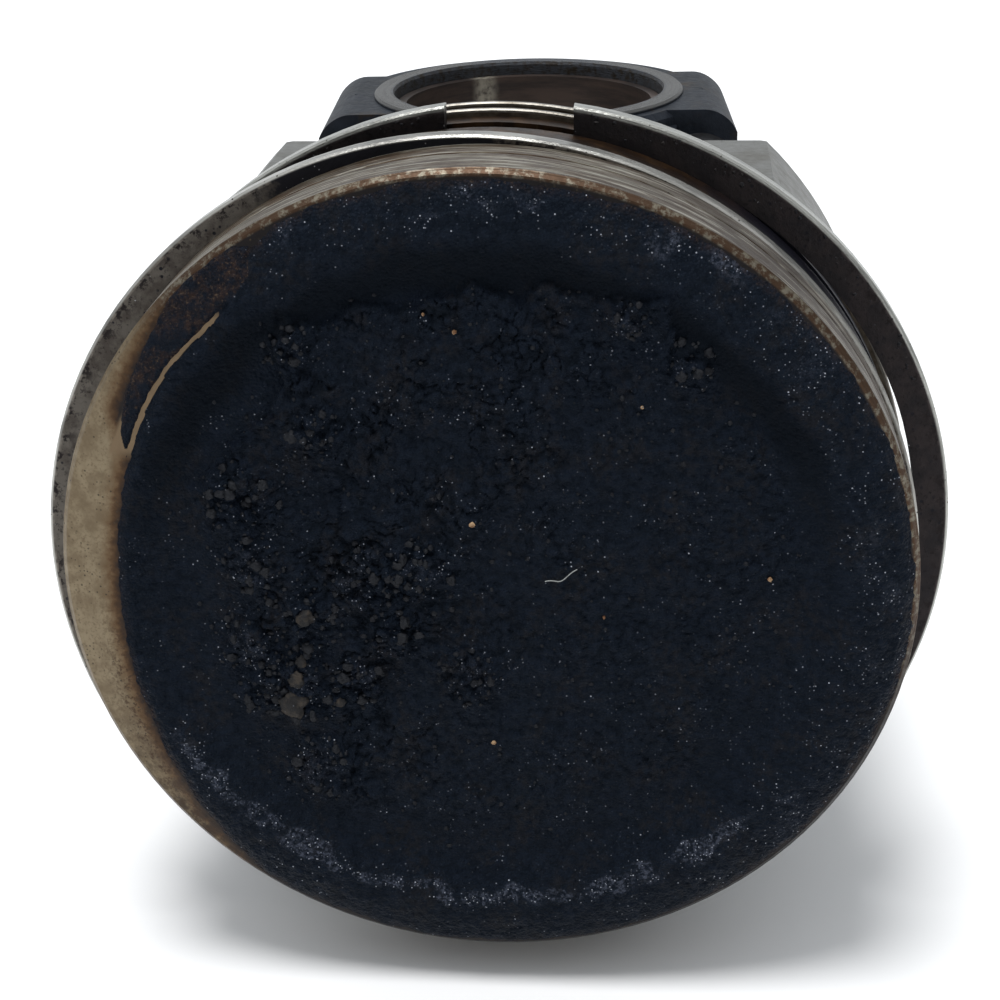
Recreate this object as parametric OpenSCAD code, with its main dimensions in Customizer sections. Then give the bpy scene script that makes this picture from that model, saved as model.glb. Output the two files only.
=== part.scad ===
// Four-stroke motorcycle piston on its split connecting rod, in millimetres.
//
// Frame: the origin is the centre of the big-end bore and +Z is that bore's axis.
// The piston's axis is parallel to Y, with the crown facing -Y. The rod is swung
// a few degrees about the gudgeon pin, as the assembly lies at rest.

/* [Piston] */
// Nominal bore of the cylinder
bore_d = 62; // [60:0.5:66]
// Clearance of the ring lands, on the radius
land_gap = 0.15; // [0.1:0.05:0.3]
// Crown edge to pin centre
pin_height = 25; // [24:0.5:27]
// Crown edge to the bottom of the skirt
piston_h = 44.3; // [42:0.1:48]
// Across the flat sides that hold the pin bosses
side_w = 44.8; // [43:0.2:47]
// Thickness of the skirt panels
skirt_t = 3; // [2.5:0.1:3.4]
// Depth of the dish in the crown
dish_depth = 1; // [0.6:0.1:1.4]
// Radius of the rounded ridge round the dish
ridge_r = 27.4; // [26.5:0.1:28]

/* [Ring grooves] */
// Crown edge to the top compression ring
ring1_at = 6.9; // [6.5:0.1:7.2]
// Crown edge to the second compression ring
ring2_at = 12.1; // [11.5:0.1:12.4]
// Crown edge to the oil ring
oil_at = 15.5; // [15.3:0.1:15.8]
// Axial height of each compression ring
ring_h = 1.5; // [1.2:0.1:1.6]
// Radial width of each compression ring
ring_w = 2.5; // [2.3:0.1:2.6]
// Axial height of the three-piece oil ring
oil_h = 2.8; // [2.5:0.1:3]
// Thickness of each oil rail
rail_t = 0.5; // [0.4:0.05:0.6]
// Play between a ring and each side of its groove
ring_play = 0.04; // [0.03:0.01:0.06]

/* [Sprung rings] */
// Outer radius of the top ring, as sprung
ring1_r = 32.8; // [32.4:0.1:33]
// Sideways place of the top ring's centre
ring1_x = -1.2; // [-1.4:0.1:-0.8]
// Upward place of the top ring's centre
ring1_z = -1.35; // [-1.5:0.05:-1]
// Outer radius of the second ring, as sprung
ring2_r = 33.1; // [32.8:0.1:33.3]
// Sideways place of the second ring's centre
ring2_x = 1.2; // [1:0.1:1.6]
// Open gap between the ends of a sprung ring
ring_gap = 9.2; // [8:0.2:12]
// Outer radius of the oil rails, as sprung
rail_r = 31.4; // [31.1:0.1:31.6]

/* [Gudgeon pin] */
// Diameter of the gudgeon pin
pin_d = 16; // [15:0.5:17]
// Bore of the gudgeon pin
pin_bore_d = 9.6; // [8:0.2:11]
// Length of the gudgeon pin
pin_len = 38; // [36:0.5:38.2]
// Radial clearance of the pin in its bores
pin_gap = 0.015; // [0.01:0.005:0.04]

/* [Connecting rod] */
// Pin centre to big-end centre
rod_len = 109; // [100:0.5:120]
// Swing of the rod from the piston's axis, as drawn
rod_swing = 3.3; // [0:0.1:6]
// Width of the rod at both ends
rod_w = 18; // [17:0.5:18.5]
// Radius of the big-end housing bore
housing_r = 18; // [17.5:0.1:18.2]
// Outer radius of the raised thrust face round the big end
thrust_r = 20.7; // [20.5:0.1:21]
// Outer radius of the big end's housing
big_end_r = 22.8; // [22:0.1:23.2]
// Outer radius of the small end
small_end_r = 12.5; // [12:0.1:13.5]
// Width of the shank beside the small end
shank_small_w = 15; // [14:0.5:16]
// Width of the shank where it meets the big end
shank_big_w = 19; // [17:0.5:21]
// Thickness of the shank across its flanges
shank_t = 13; // [11:0.5:14]
// Thickness of the web between the flanges
web_t = 4.4; // [3.5:0.1:6]

/* [Big-end bearing] */
// Wall thickness of a bearing shell
shell_t = 1.5; // [1.2:0.1:1.8]
// Width of a bearing shell
shell_w = 14.4; // [13:0.2:15]

/* [Rod bolts] */
// Distance of each bolt from the rod's centre line
bolt_x = 22.2; // [22:0.1:22.6]
// Diameter of a rod bolt
bolt_d = 7; // [6.5:0.1:7]
// Half the width across the bolt bosses
boss_x = 27; // [26.6:0.1:28]
// Bolt-head seat to the joint face
head_seat = 13; // [12:0.5:15]
// Nut seat to the joint face
nut_seat = 12; // [11.5:0.5:13]
// Width across the flats of a nut
nut_af = 10.6; // [10:0.1:11]

/* [Hidden] */
$fn = 96;
eps = 0.01;

// Piston
land_r = bore_d / 2 - land_gap;
groove_r = 28.2;
crown_rise = 0.6;
dish_r = 24.4;
edge_c = 0.35;
crown_t = 5.6;
belt_inner_r = 25.4;
belt_end = oil_at + oil_h + 1.6;
side_t = 3.2;
boss_r = 12;
boss_face = rod_w / 2 + 1;
pillar_w = 17;
line_at = 4.15;
line_w = 0.35;
line_depth = 0.3;
drain_d = 2.2;
drain_angles = [-52, -26, 0, 26, 52];

// Rings
ring_c = 0.15;
ring2_z = -0.5;
ring1_gap_at = -75;
ring2_gap_at = 89.6;
rail_w = 2.2;
rail_gap = 1.2;
upper_rail_gap_at = 205;
lower_rail_gap_at = 330;
expander_outer_r = 30.7;
expander_inner_r = 28.5;
expander_teeth = 36;
expander_slot_w = 2.2;

// Circlips and pin
clip_wire_d = 1;
clip_groove_r = pin_d / 2 + 0.75;
clip_r = clip_groove_r - clip_wire_d / 2 - 0.03;
clip_groove_w = 1.2;
clip_z = pin_len / 2 + 0.1 + clip_groove_w / 2;
clip_gap_w = 5;
pin_c = 0.6;

// Rod
bush_t = 1.5;
bush_outer_r = pin_d / 2 + pin_gap + bush_t;
oil_hole_d = 2.4;
bore_c = 0.4;
end_c = 0.8;
flare_end = 37;
flare_steps = 14;
thrust_h = 0.6;
boss_top = rod_w / 2 - thrust_h;
boss_round = 3;
flange_t = 3;
cap_r = 24.2;
cap_rib_t = 8;
cap_rib_r = 26;
tang_w = 4;
tang_h = 0.7;

// Bolts
bolt_hole_r = bolt_d / 2 + 0.05;
head_h = 4;
head_r = 5.4;
nut_h = 6.6;
bolt_tip = nut_seat + nut_h + 1.8;
spot_r = 6.3;

pin_pos = [rod_len * sin(rod_swing), -rod_len * cos(rod_swing), 0];
crown_pos = pin_pos - [0, pin_height, 0];

// ---- helpers -------------------------------------------------------------

// Turns a shape about the piston's axis: its z becomes the depth below the crown
module from_crown() {
    translate(crown_pos) rotate([-90, 0, 0]) children();
}

// Puts a shape drawn along -Y from the big-end centre onto the swung rod
module on_rod() {
    rotate([0, 0, rod_swing]) children();
}

// A cylinder along +Y that starts at the given place
module rod_y(x, y, r, h, sides = 96) {
    translate([x, y, 0]) rotate([-90, 0, 0]) cylinder(r = r, h = h, $fn = sides);
}

// A tube about Z, centred on z = 0
module tube(r_out, r_in, h, c = 0) {
    rotate_extrude() polygon([
        [r_in, -h / 2], [r_out - c, -h / 2], [r_out, -h / 2 + c],
        [r_out, h / 2 - c], [r_out - c, h / 2], [r_in, h / 2]
    ]);
}

// ---- piston --------------------------------------------------------------

// Half section of the piston's outside, as [radius, depth below the crown edge]
module piston_outline() {
    polygon([
        [0, dish_depth - crown_rise],
        [dish_r - 2, dish_depth - crown_rise],
        [dish_r - 0.6, dish_depth * 0.72 - crown_rise],
        [dish_r + 0.7, dish_depth * 0.3 - crown_rise],
        [ridge_r - 1, 0.05 - crown_rise],
        [ridge_r, -crown_rise],
        [ridge_r + 0.9, 0.08 - crown_rise],
        [land_r - edge_c, 0],
        [land_r, edge_c],
        [land_r, line_at],
        [land_r - line_depth, line_at + line_w / 2],
        [land_r, line_at + line_w],
        [land_r, piston_h - edge_c],
        [land_r - edge_c, piston_h],
        [0, piston_h]
    ]);
}

module ring_groove(at, h) {
    translate([groove_r, at - ring_play]) square([land_r, h + 2 * ring_play]);
}

// Half section of the hollow above the pin bosses
module belt_hollow() {
    polygon([
        [0, crown_t], [belt_inner_r - 7, crown_t], [belt_inner_r - 2.2, crown_t + 1.4],
        [belt_inner_r, crown_t + 4], [belt_inner_r, belt_end + 1.5], [0, belt_end + 1.5]
    ]);
}

// The open space between the skirt panels and the side walls
module skirt_hollow() {
    inner_w = side_w - 2 * side_t;
    intersection() {
        translate([0, 0, belt_end]) cylinder(r = land_r - skirt_t, h = piston_h);
        translate([-bore_d / 2, -inner_w / 2, 0]) cube([bore_d, inner_w, piston_h + 1]);
    }
}

module side_flats() {
    for (s = [-1, 1])
        translate([-bore_d / 2, s > 0 ? side_w / 2 : -side_w / 2 - bore_d, belt_end])
            cube([bore_d, bore_d, piston_h]);
}

module oil_drains() {
    for (side = [0, 180], a = drain_angles)
        rotate([0, 0, side + a]) translate([belt_inner_r - 3, 0, oil_at + oil_h / 2])
            rotate([0, 90, 0]) cylinder(d = drain_d, h = 7, $fn = 24);
}

module pin_boss() {
    boss_len = side_w / 2 - boss_face - 1;
    translate([0, 0, boss_face]) cylinder(r = boss_r, h = boss_len);
    translate([-pillar_w / 2, -pin_height + crown_t - 1, boss_face])
        cube([pillar_w, pin_height - crown_t + 1, boss_len - 1.4]);
}

module pin_bores() {
    cylinder(r = pin_d / 2 + pin_gap, h = bore_d, center = true);
    for (s = [-1, 1]) {
        translate([0, 0, s * clip_z])
            cylinder(r = clip_groove_r, h = clip_groove_w, center = true);
        translate([0, 0, s * side_w / 2])
            cylinder(r1 = pin_d / 2 + (s > 0 ? 0 : 0.6), r2 = pin_d / 2 + (s > 0 ? 0.6 : 0),
                     h = 1.2, center = true);
    }
}

module piston_body() {
    color("#a99f8c") difference() {
        union() {
            difference() {
                from_crown() rotate_extrude() difference() {
                    piston_outline();
                    ring_groove(ring1_at, ring_h);
                    ring_groove(ring2_at, ring_h);
                    ring_groove(oil_at, oil_h);
                }
                from_crown() side_flats();
                from_crown() rotate_extrude() belt_hollow();
                from_crown() skirt_hollow();
            }
            translate(pin_pos) {
                pin_boss();
                mirror([0, 0, 1]) pin_boss();
            }
        }
        from_crown() oil_drains();
        translate(pin_pos) pin_bores();
    }
}

// ---- rings ---------------------------------------------------------------

// A split ring about the piston's axis, with its centre moved to [x, z]
module split_ring(at, h, r, w, x, z, gap, gap_at, c) {
    from_crown() translate([x, -z, at]) difference() {
        rotate_extrude() polygon([
            [r - w, 0], [r - c, 0], [r, c], [r, h - c], [r - c, h], [r - w, h]
        ]);
        rotate([0, 0, -gap_at]) translate([r / 2, -gap / 2, -1]) cube([r, gap, h + 2]);
    }
}

module top_compression_ring() {
    color("#8f8a84") split_ring(ring1_at, ring_h, ring1_r, ring_w, ring1_x, ring1_z,
                                ring_gap, ring1_gap_at, ring_c);
}

module second_compression_ring() {
    color("#3a322d") split_ring(ring2_at, ring_h, ring2_r, ring_w, ring2_x, ring2_z,
                                ring_gap, ring2_gap_at, ring_c);
}

module upper_oil_rail() {
    color("#c9c6bf") split_ring(oil_at, rail_t, rail_r, rail_w, 0, 0,
                                rail_gap, upper_rail_gap_at, rail_t / 5);
}

module lower_oil_rail() {
    color("#c9c6bf") split_ring(oil_at + oil_h - rail_t, rail_t, rail_r, rail_w, 0, 0,
                                rail_gap, lower_rail_gap_at, rail_t / 5);
}

// The spacer between the rails: a strip slotted from alternate sides
module oil_ring_expander() {
    play = 0.03;
    h = oil_h - 2 * rail_t - 2 * play;
    w = expander_outer_r - expander_inner_r;
    color("#8b7a63") from_crown() translate([0, 0, oil_at + rail_t + play]) difference() {
        rotate_extrude() translate([expander_inner_r, 0]) square([w, h]);
        for (i = [0 : expander_teeth - 1])
            rotate([0, 0, i * 360 / expander_teeth])
                translate([expander_inner_r - 1, -expander_slot_w / 2, i % 2 == 0 ? -1 : 0.5])
                    cube([w + 2, expander_slot_w, h + 0.5]);
        rotate([0, 0, 100 - 180 / expander_teeth])
            translate([expander_inner_r - 1, -0.3, -1]) cube([w + 2, 0.6, h + 2]);
    }
}

// ---- pin and circlips ----------------------------------------------------

module gudgeon_pin() {
    r = pin_d / 2;
    ri = pin_bore_d / 2;
    h = pin_len / 2;
    color("#7d7f82") translate(pin_pos) rotate_extrude() polygon([
        [ri, -h + 1], [ri + 1, -h], [r - pin_c, -h], [r, -h + pin_c],
        [r, h - pin_c], [r - pin_c, h], [ri + 1, h], [ri, h - 1]
    ]);
}

module circlip(z, gap_at) {
    color("#55565a") translate(pin_pos + [0, 0, z]) difference() {
        rotate_extrude() translate([clip_r, 0]) circle(d = clip_wire_d, $fn = 24);
        rotate([0, 0, gap_at]) translate([0, -clip_gap_w / 2, -clip_wire_d])
            cube([bore_d, clip_gap_w, 2 * clip_wire_d]);
    }
}

module upper_circlip() {
    circlip(clip_z, 90);
}

module lower_circlip() {
    circlip(-clip_z, 90);
}

// ---- connecting rod ------------------------------------------------------

// Eases from 0 to 1
function ease(t) = t * t * (3 - 2 * t);

// Half width of the shank at the distance y from the big-end centre
function shank_half(y) = (shank_big_w + (shank_small_w - shank_big_w) * (y / rod_len)) / 2;

// Half width of the flare between the bolt bosses and the shank
function flare_half(y) =
    let (t = (y - head_seat) / (flare_end - head_seat))
    big_end_r - 3.6 + (shank_half(flare_end) - big_end_r + 3.6) * ease(t);

// Outline of the shank and the flare, seen along Z, drawn towards -Y
module shank_outline(inset = 0) {
    ys = [for (i = [0 : flare_steps]) head_seat + (flare_end - head_seat) * i / flare_steps];
    far = rod_len;
    right = concat(
        [[flare_half(head_seat) - inset, 0]],
        [for (y = ys) [flare_half(y) - inset, -y]],
        [[shank_half(far) - inset, -far]]
    );
    left = [for (i = [len(right) - 1 : -1 : 0]) [-right[i][0], right[i][1]]];
    polygon(concat(right, left));
}

// The rounded block that carries both bolt bosses, between two depths along Y
module boss_block(y0, y1) {
    k = boss_round;
    side = [for (a = [0 : 10 : 90]) [boss_x - k + k * cos(a) - 1.2 * sin(a), boss_top - k + k * sin(a)]];
    quarter = concat([[boss_x, 0]], side);
    half = concat(quarter, [for (i = [len(quarter) - 1 : -1 : 0]) [-quarter[i][0], quarter[i][1]]]);
    full = concat(half, [for (i = [len(half) - 1 : -1 : 0]) [half[i][0], -half[i][1]]]);
    translate([0, y1, 0]) rotate([90, 0, 0]) linear_extrude(y1 - y0) polygon(full);
}

// The pocket that leaves the web between the flanges, on the +Z side
module shank_pocket() {
    y0 = -rod_len + small_end_r + 4.5;
    y1 = -big_end_r - 8.5;
    w0 = shank_small_w / 2 - flange_t;
    w1 = shank_big_w / 2 - flange_t;
    translate([0, 0, web_t / 2]) linear_extrude(rod_w) {
        polygon([[-w0, y0], [w0, y0], [w1, y1], [-w1, y1]]);
        translate([0, y0]) circle(r = w0);
        translate([0, y1]) circle(r = w1);
    }
}

module half_space(side) {
    translate([-rod_len, side > 0 ? 0 : -2 * rod_len, -rod_len]) cube(2 * rod_len);
}

module housing_bore() {
    cylinder(r = housing_r, h = rod_w + 1, center = true);
    for (s = [-1, 1]) translate([0, 0, s * rod_w / 2])
        cylinder(r1 = housing_r + (s > 0 ? 0 : bore_c), r2 = housing_r + (s > 0 ? bore_c : 0),
                 h = 2 * bore_c, center = true);
}

module bolt_holes() {
    for (s = [-1, 1]) rod_y(s * bolt_x, -30, bolt_hole_r, 60);
}

// Slots in the housing for the tangs of the shells
module tang_slot(side) {
    for (s = [-1, 1]) translate([side * s * (housing_r - 0.2), 0, s * 3])
        cube([2 * tang_h + 0.3, 5, tang_w + 0.2], center = true);
}

module connecting_rod() {
    color("#454a52") on_rod() difference() {
        union() {
            intersection() {
                union() {
                    tube(thrust_r, 1, rod_w, thrust_h / 2);
                    tube(big_end_r, 1, 2 * boss_top, end_c);
                    boss_block(-head_seat, 0);
                }
                half_space(-1);
            }
            translate([0, 0, -shank_t / 2]) linear_extrude(shank_t) shank_outline();
            translate([0, -rod_len, 0]) tube(small_end_r, 1, rod_w, end_c);
        }
        shank_pocket();
        mirror([0, 0, 1]) shank_pocket();
        housing_bore();
        bolt_holes();
        tang_slot(1);
        for (s = [-1, 1]) rod_y(s * bolt_x, -head_seat - 8, spot_r, 8);
        translate([0, -rod_len, 0]) cylinder(r = bush_outer_r, h = rod_w + 1, center = true);
        rod_y(0, -rod_len - small_end_r - 1, oil_hole_d / 2, small_end_r, 24);
    }
}

module small_end_bush() {
    color("#9c7440") on_rod() translate([0, -rod_len, 0]) difference() {
        tube(bush_outer_r, pin_d / 2 + pin_gap, rod_w - 0.4, 0.3);
        rod_y(0, -bush_outer_r - 1, oil_hole_d / 2, bush_outer_r, 24);
    }
}

module rod_cap() {
    color("#3c4149") on_rod() difference() {
        intersection() {
            union() {
                tube(thrust_r, 1, rod_w, thrust_h / 2);
                tube(cap_r, 1, 2 * boss_top, end_c);
                tube(cap_rib_r, 1, cap_rib_t, 1.2);
                boss_block(0, nut_seat);
            }
            half_space(1);
        }
        housing_bore();
        bolt_holes();
        tang_slot(1);
        for (s = [-1, 1]) rod_y(s * bolt_x, nut_seat, spot_r, 20);
    }
}

// Half of the thin-walled big-end bearing: side -1 sits in the rod, +1 in the cap
module bearing_shell(side) {
    on_rod() difference() {
        union() {
            intersection() {
                tube(housing_r, housing_r - shell_t, shell_w, 0.2);
                half_space(side);
            }
            translate([side * (housing_r + tang_h / 2 - 0.5), side * 1, side * 3])
                cube([tang_h + 0.9, 2, tang_w], center = true);
        }
        cylinder(r = housing_r - shell_t, h = rod_w, center = true);
        rotate([0, 0, side * 45]) rod_y(0, side > 0 ? 0 : -housing_r - 1, 1.4, housing_r + 1, 24);
    }
}

module rod_bearing_shell() {
    color("#8a6f55") bearing_shell(-1);
}

module cap_bearing_shell() {
    color("#8a6f55") bearing_shell(1);
}

// ---- rod bolts and nuts --------------------------------------------------

// A bolt that is fed from the rod side; its head has one flat towards the shank
module rod_bolt(s) {
    color("#2f3237") on_rod() {
        rod_y(s * bolt_x, -head_seat - 0.5, bolt_d / 2, head_seat + bolt_tip - 0.1);
        translate([s * bolt_x, bolt_tip - 0.61, 0]) rotate([-90, 0, 0])
            cylinder(r1 = bolt_d / 2, r2 = bolt_d / 2 - 0.7, h = 0.8);
        intersection() {
            rod_y(s * bolt_x, -head_seat - head_h, head_r, head_h);
            translate([s * (bolt_x + 1.2) - 6, -head_seat - head_h - 1, -head_r])
                cube([12, head_h + 2, 2 * head_r]);
        }
    }
}

module left_rod_bolt() {
    rod_bolt(-1);
}

module right_rod_bolt() {
    rod_bolt(1);
}

module rod_nut(s) {
    nut_r = nut_af / 2 / cos(30);
    color("#2f3237") on_rod() difference() {
        intersection() {
            rod_y(s * bolt_x, nut_seat, nut_r, nut_h, 6);
            translate([s * bolt_x, nut_seat - eps, 0]) rotate([-90, 0, 0])
                cylinder(r1 = nut_r + 0.8, r2 = nut_r - 0.5, h = nut_h + 2 * eps);
        }
        rod_y(s * bolt_x, nut_seat - 1, bolt_d / 2 + 0.02, nut_h + 2);
    }
}

module left_rod_nut() {
    rod_nut(-1);
}

module right_rod_nut() {
    rod_nut(1);
}

// ---- drawing -------------------------------------------------------------

piston_body();
top_compression_ring();
second_compression_ring();
upper_oil_rail();
oil_ring_expander();
lower_oil_rail();
gudgeon_pin();
upper_circlip();
lower_circlip();
connecting_rod();
small_end_bush();
rod_cap();
rod_bearing_shell();
cap_bearing_shell();
left_rod_bolt();
right_rod_bolt();
left_rod_nut();
right_rod_nut();
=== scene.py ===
"""Used motorcycle piston on its connecting rod: the looks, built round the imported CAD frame."""
import math
import random

import bmesh
import bpy
import numpy as np
from mathutils import Matrix, Vector, noise


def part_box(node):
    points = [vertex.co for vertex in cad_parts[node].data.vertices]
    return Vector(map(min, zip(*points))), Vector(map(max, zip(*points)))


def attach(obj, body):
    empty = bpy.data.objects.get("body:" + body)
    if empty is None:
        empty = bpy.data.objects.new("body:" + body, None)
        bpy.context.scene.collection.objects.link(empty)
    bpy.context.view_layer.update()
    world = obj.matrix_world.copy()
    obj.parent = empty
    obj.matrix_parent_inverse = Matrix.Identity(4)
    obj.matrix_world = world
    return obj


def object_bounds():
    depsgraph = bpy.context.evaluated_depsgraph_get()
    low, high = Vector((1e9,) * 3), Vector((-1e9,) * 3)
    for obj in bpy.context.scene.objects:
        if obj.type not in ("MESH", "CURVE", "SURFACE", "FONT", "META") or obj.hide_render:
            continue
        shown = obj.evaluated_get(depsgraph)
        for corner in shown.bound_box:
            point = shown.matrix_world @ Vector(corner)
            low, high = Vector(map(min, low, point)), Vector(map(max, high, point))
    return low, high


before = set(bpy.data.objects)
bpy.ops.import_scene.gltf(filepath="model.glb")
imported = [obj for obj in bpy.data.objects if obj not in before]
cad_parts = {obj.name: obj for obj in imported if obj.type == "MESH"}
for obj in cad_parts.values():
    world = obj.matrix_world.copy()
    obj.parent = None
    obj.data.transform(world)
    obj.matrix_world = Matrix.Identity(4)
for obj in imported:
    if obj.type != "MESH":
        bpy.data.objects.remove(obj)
cad_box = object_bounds()

MM = 0.001

# ---- places worked out from the frame ---------------------------------------------------------

body_low, body_high = (Vector(c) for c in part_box("piston_body"))
CROWN_RISE = 0.6                        # how far the crown's ridge stands proud of its edge, mm
CROWN = Vector(((body_low.x + body_high.x) / 2, body_low.y + CROWN_RISE * MM, 0))
LAND_R = (body_high.x - body_low.x) / 2 / MM
ring1_low, ring1_high = (Vector(c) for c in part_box("top_compression_ring"))
ring2_low, ring2_high = (Vector(c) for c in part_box("second_compression_ring"))

# The crown's half section in mm, as radius and depth below the crown's edge
CROWN_R = (0, 22.4, 23.8, 25.1, 26.4, 27.4, 28.3, LAND_R - 0.35, LAND_R)
CROWN_DEPTH = (0.4, 0.4, 0.12, -0.3, -0.55, -0.6, -0.52, 0, 0.35)

# The circle that bounds the carbon at the left, in mm on the crown
EDGE_X, EDGE_Z, EDGE_R = 9.7, -1.0, 36.35


# ---- camera, floor and lights -----------------------------------------------------------------

def make_camera():
    """A 68 mm lens close in front of the crown, a little above it and to its right."""
    azimuth, elevation, roll = math.radians(5.43), math.radians(23.66), math.radians(-1.35)
    distance, across, rise = 136.4 * MM, 1.14 * MM, 6.57 * MM
    back = Vector((math.sin(azimuth) * math.cos(elevation),
                   -math.cos(azimuth) * math.cos(elevation), math.sin(elevation)))
    right = Vector((0, 0, 1)).cross(back).normalized()
    up = back.cross(right)
    right, up = (right * math.cos(roll) + up * math.sin(roll),
                 up * math.cos(roll) - right * math.sin(roll))
    place = CROWN + back * distance + right * across + up * rise
    data = bpy.data.cameras.new("camera")
    data.lens = 68.4
    data.sensor_width = 36
    data.clip_start = 0.005
    camera = bpy.data.objects.new("camera", data)
    camera.matrix_world = Matrix.Translation(place) @ Matrix((right, up, back)).transposed().to_4x4()
    bpy.context.collection.objects.link(camera)
    bpy.context.scene.camera = camera


def make_world():
    """A soft surround, brightest overhead and behind the piston, dimmer in front of the crown."""
    world = bpy.data.worlds.new("surround")
    world.use_nodes = True
    nodes, links = world.node_tree.nodes, world.node_tree.links
    coords = nodes.new("ShaderNodeTexCoord")
    towards = nodes.new("ShaderNodeVectorMath")
    towards.operation = "DOT_PRODUCT"
    towards.inputs[1].default_value = (-0.12, 0.48, 0.86)
    bright = nodes.new("ShaderNodeMapRange")
    bright.interpolation_type = "SMOOTHSTEP"
    for name, value in (("From Min", -0.45), ("From Max", 0.95), ("To Min", 0.22), ("To Max", 0.95)):
        bright.inputs[name].default_value = value
    background = nodes["Background"]
    background.inputs["Color"].default_value = (0.93, 0.965, 1.0, 1)
    links.new(coords.outputs["Generated"], towards.inputs[0])
    links.new(towards.outputs["Value"], bright.inputs["Value"])
    links.new(bright.outputs["Result"], background.inputs["Strength"])
    bpy.context.scene.world = world


def make_sun():
    """One wide soft sun, high up and just in front of the crown, so that it rakes the carbon."""
    data = bpy.data.lights.new("high_sun", "SUN")
    data.energy = 2.3
    data.angle = math.radians(20)
    sun = bpy.data.objects.new("high_sun", data)
    sun.rotation_euler = Vector((0.10, 0.17, -1.0)).to_track_quat("-Z", "Y").to_euler()
    bpy.context.collection.objects.link(sun)


def make_studio():
    """A pale floor, the surround and the sun."""
    mesh = bpy.data.meshes.new("floor")
    reach, floor_z = 40.0, cad_box[0][2] - 0.0002
    corners = [(-reach, -reach, floor_z), (reach, -reach, floor_z),
               (reach, reach, floor_z), (-reach, reach, floor_z)]
    mesh.from_pydata(corners, [], [(0, 1, 2, 3)])
    floor = bpy.data.objects.new("floor", mesh)
    bpy.context.collection.objects.link(floor)
    material = Shader("floor_paper", rough=0.9, specular=0.1)
    material.set_colour(material.mix(material.noise(40), (0.90, 0.90, 0.905), (0.92, 0.92, 0.92)))
    mesh.materials.append(material.mat)
    make_world()
    make_sun()
    bpy.context.scene.view_settings.view_transform = "Standard"


# ---- shader building --------------------------------------------------------------------------

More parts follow.
